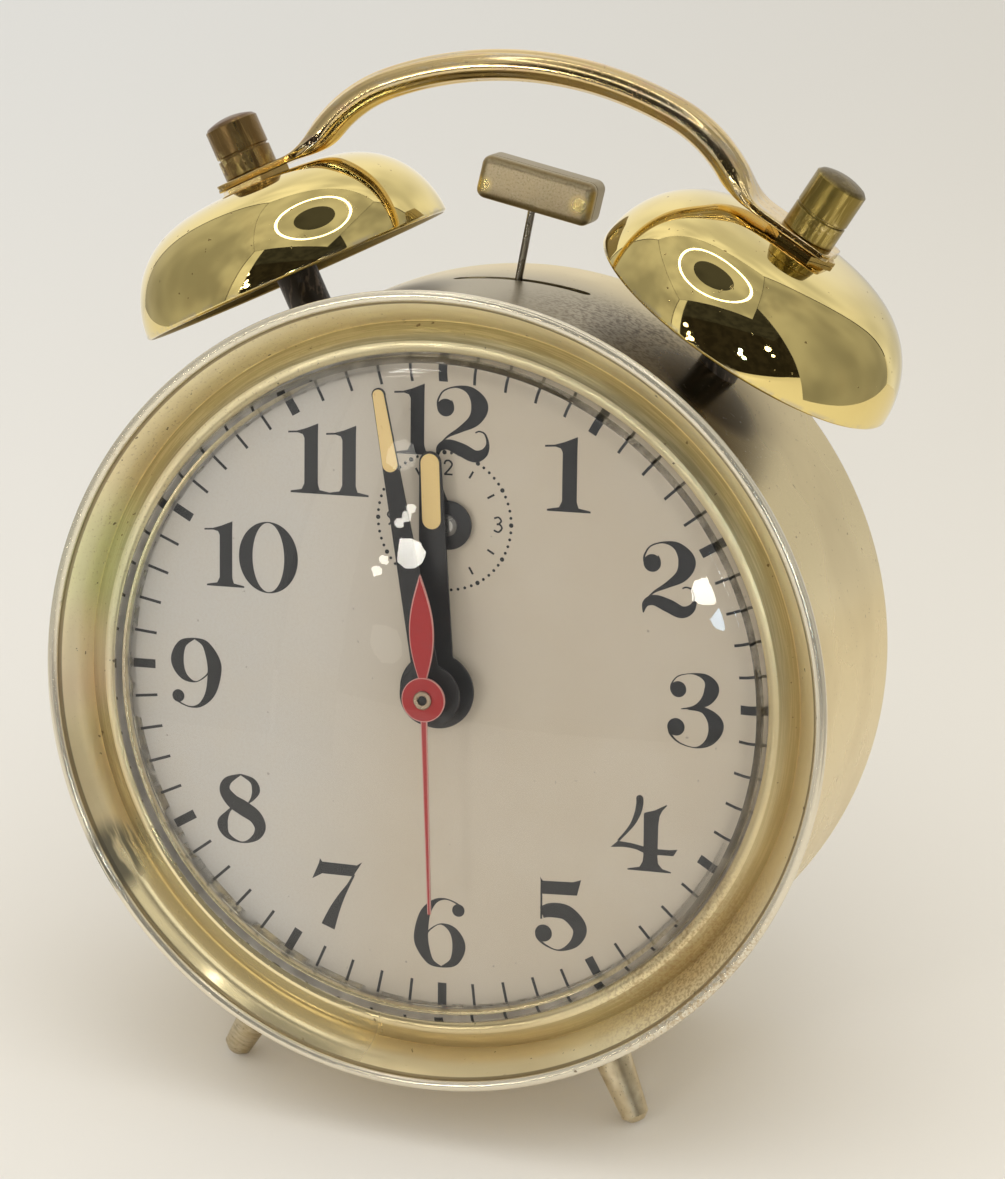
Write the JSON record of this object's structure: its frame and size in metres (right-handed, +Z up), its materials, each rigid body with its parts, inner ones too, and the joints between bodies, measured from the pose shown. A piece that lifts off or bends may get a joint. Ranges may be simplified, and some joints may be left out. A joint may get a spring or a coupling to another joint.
{
  "type": "twin bell alarm clock",
  "caption": "Round key-wound alarm clock in a gold-coloured drum case with two bells, a hammer and an arched carrying handle on top, standing on tapered feet.",
  "frame": {"origin": "centre of the box's base, on the surface that the clock stands on", "axes": "+Z up, +Y towards the clock's back, +X to the right seen from the front; the clock's own axis runs back and down by its lean"},
  "size_m": [0.1054, 0.0732, 0.1316],
  "materials": {
    "gold_plate": "satin gold plating, worn and speckled",
    "bell_brass": "polished",
    "handle_brass": "gold plating worn to silver along its length",
    "nut_brass": "aged and browned",
    "post_black": "black, semi-gloss",
    "head_nickel": "dull nickel worn to brass at its edges",
    "wire_steel": "drawn, dull",
    "foot_nickel": "turned, dull",
    "crystal_glass": "clear",
    "dial_white": "matte off-white with black printing",
    "hand_black": "gloss black with cream luminous filling",
    "hand_red": "red",
    "back_plate": "satin gold plating",
    "plate_brass": "brushed",
    "wheel_brass": "satin",
    "gear_brass": "satin",
    "knob_brass": "turned",
    "key_steel": "nickel plated, worn",
    "spring_steel": "blued",
    "movement_steel": "bright"
  },
  "bodies": {
    "case": {"back_cover": "back_plate", "back_screws": "movement_steel", "back_spacers": "plate_brass", "bell_nuts": "nut_brass", "bezel": "gold_plate", "case_drum": "gold_plate", "click_screws": "movement_steel", "crystal": "crystal_glass", "dial": "dial_white", "dial_feet": "movement_steel", "escape_bridge": "plate_brass", "foot_nuts": "movement_steel", "front_plate": "plate_brass", "hairspring": "spring_steel", "handle": "handle_brass", "left_bell": "bell_brass", "left_cap_nut": "nut_brass", "left_foot": "foot_nickel", "left_post": "post_black", "movement_pillars": "movement_steel", "pillar_nuts": "movement_steel", "post_lock_nuts": "movement_steel", "rear_plate": "plate_brass", "right_bell": "bell_brass", "right_cap_nut": "nut_brass", "right_foot": "foot_nickel", "right_post": "post_black"},
    "minute_set": {"cannon_pinion": "movement_steel", "minute_hand": "hand_black"},
    "setting_set": {"minute_wheel": "wheel_brass", "setting_knob": "knob_brass"},
    "hour_set": {"hour_wheel": "wheel_brass", "hour_hand": "hand_black"},
    "seconds_set": {"seconds_arbor": "gear_brass", "seconds_hand": "hand_red"},
    "third_set": {"third_wheel": "gear_brass"},
    "centre_set": {"centre_wheel": "gear_brass"},
    "time_barrel_set": {"time_barrel": "wheel_brass", "time_mainspring": "spring_steel"},
    "escape_set": {"escape_wheel": "gear_brass"},
    "alarm_set": {"alarm_arbor": "movement_steel", "alarm_hand": "hand_black", "alarm_knob": "knob_brass"},
    "alarm_barrel_set": {"alarm_barrel": "wheel_brass", "alarm_mainspring": "spring_steel"},
    "alarm_second_set": {"alarm_second_wheel": "gear_brass"},
    "alarm_escape_set": {"alarm_escape_wheel": "gear_brass"},
    "time_key_set": {"time_winding_arbor": "movement_steel", "time_key": "key_steel"},
    "alarm_key_set": {"alarm_winding_arbor": "movement_steel", "alarm_key": "key_steel"},
    "hammer_set": {"hammer_arbor": "movement_steel", "hammer_wire": "wire_steel", "hammer_head": "head_nickel"},
    "pallet_set": {"pallet_lever": "movement_steel"},
    "balance_set": {"balance_wheel": "wheel_brass"},
    "regulator_set": {"regulator_lever": "movement_steel"},
    "time_click_set": {"time_click": "movement_steel"},
    "alarm_click_set": {"alarm_click": "movement_steel"},
    "stop_set": {"stop_button": "knob_brass"}
  },
  "joints": [
    {"name": "minute_turn", "type": "hinge", "parent": "case", "child": "minute_set", "pos_m": [0, -0.01258, 0.05674], "axis": [0, 0.9726, -0.2326], "continuous": true},
    {"name": "setting_turn", "type": "hinge", "parent": "case", "child": "setting_set", "pos_m": [0.00111, -0.01648, 0.04044], "axis": [0, 0.9726, -0.2326], "continuous": true},
    {"name": "hour_turn", "type": "hinge", "parent": "case", "child": "hour_set", "pos_m": [0, -0.0154, 0.05741], "axis": [0, 0.9726, -0.2326], "continuous": true},
    {"name": "seconds_turn", "type": "hinge", "parent": "case", "child": "seconds_set", "pos_m": [0, 0.01018, 0.0513], "axis": [0, 0.9726, -0.2326], "continuous": true},
    {"name": "third_turn", "type": "hinge", "parent": "case", "child": "third_set", "pos_m": [-0.01074, 0.01003, 0.061], "axis": [0, 0.9726, -0.2326], "continuous": true},
    {"name": "centre_turn", "type": "hinge", "parent": "case", "child": "centre_set", "pos_m": [0, 0.00522, 0.05248], "axis": [0, 0.9726, -0.2326], "continuous": true},
    {"name": "time_barrel_turn", "type": "hinge", "parent": "case", "child": "time_barrel_set", "pos_m": [0.01958, -0.00949, 0.04819], "axis": [0, 0.9726, -0.2326], "continuous": true},
    {"name": "escape_turn", "type": "hinge", "parent": "case", "child": "escape_set", "pos_m": [0.01039, 0.01444, 0.06052], "axis": [0, 0.9726, -0.2326], "continuous": true},
    {"name": "alarm_set_turn", "type": "hinge", "parent": "case", "child": "alarm_set", "pos_m": [-0.00053, -0.00875, 0.07794], "axis": [0, 0.9726, -0.2326], "continuous": true},
    {"name": "alarm_barrel_turn", "type": "hinge", "parent": "case", "child": "alarm_barrel_set", "pos_m": [-0.02092, -0.01098, 0.04194], "axis": [0, 0.9726, -0.2326], "continuous": true},
    {"name": "alarm_second_turn", "type": "hinge", "parent": "case", "child": "alarm_second_set", "pos_m": [-0.02578, 0.00462, 0.05858], "axis": [0, 0.9726, -0.2326], "continuous": true},
    {"name": "alarm_escape_turn", "type": "hinge", "parent": "case", "child": "alarm_escape_set", "pos_m": [-0.02345, 0.00308, 0.07105], "axis": [0, 0.9726, -0.2326], "continuous": true},
    {"name": "time_key_turn", "type": "hinge", "parent": "case", "child": "time_key_set", "pos_m": [0.01958, 0.02125, 0.04084], "axis": [0, -0.9726, 0.2326], "range_deg": [0, 2430]},
    {"name": "alarm_key_turn", "type": "hinge", "parent": "case", "child": "alarm_key_set", "pos_m": [-0.02092, 0.01975, 0.03459], "axis": [0, -0.9726, 0.2326], "range_deg": [0, 1530]},
    {"name": "hammer_swing", "type": "hinge", "parent": "case", "child": "hammer_set", "pos_m": [-0.00212, 0.01225, 0.08363], "axis": [0, 0.9726, -0.2326], "range_deg": [-11.9, 5.3]},
    {"name": "pallet_rock", "type": "hinge", "parent": "case", "child": "pallet_set", "pos_m": [0.01778, 0.01582, 0.06631], "axis": [0, 0.9726, -0.2326], "range_deg": [-5, 5]},
    {"name": "balance_swing", "type": "hinge", "parent": "case", "child": "balance_set", "pos_m": [0.02505, 0.0162, 0.07475], "axis": [0, 0.9726, -0.2326], "range_deg": [-220, 220], "stiffness_Nm_per_rad": 0.000017},
    {"name": "regulator_swing", "type": "hinge", "parent": "case", "child": "regulator_set", "pos_m": [0.02505, 0.02125, 0.07354], "axis": [0, 0.9726, -0.2326], "range_deg": [-15, 15]},
    {"name": "time_click_rock", "type": "hinge", "parent": "case", "child": "time_click_set", "pos_m": [0.02655, 0.01655, 0.05045], "axis": [0, 0.9726, -0.2326], "range_deg": [0, 10], "stiffness_Nm_per_rad": 0.00005, "springref_deg": -11.46},
    {"name": "alarm_click_rock", "type": "hinge", "parent": "case", "child": "alarm_click_set", "pos_m": [-0.01395, 0.01506, 0.04421], "axis": [0, 0.9726, -0.2326], "range_deg": [0, 10], "stiffness_Nm_per_rad": 0.00005, "springref_deg": -11.46},
    {"name": "alarm_stop_push", "type": "slide", "parent": "case", "child": "stop_set", "axis": [0, -0.9726, 0.2326], "range_m": [0, 0.003]}
  ],
  "couplings": [
    {"joint": "setting_turn", "follows": "minute_turn", "ratio": -0.33333},
    {"joint": "hour_turn", "follows": "minute_turn", "ratio": 0.083333},
    {"joint": "third_turn", "follows": "seconds_turn", "ratio": -0.125},
    {"joint": "centre_turn", "follows": "seconds_turn", "ratio": 0.016667},
    {"joint": "time_barrel_turn", "follows": "seconds_turn", "ratio": -0.0027778},
    {"joint": "escape_turn", "follows": "seconds_turn", "ratio": -8},
    {"joint": "alarm_second_turn", "follows": "alarm_barrel_turn", "ratio": -7.5},
    {"joint": "alarm_escape_turn", "follows": "alarm_barrel_turn", "ratio": 37.5}
  ]
}
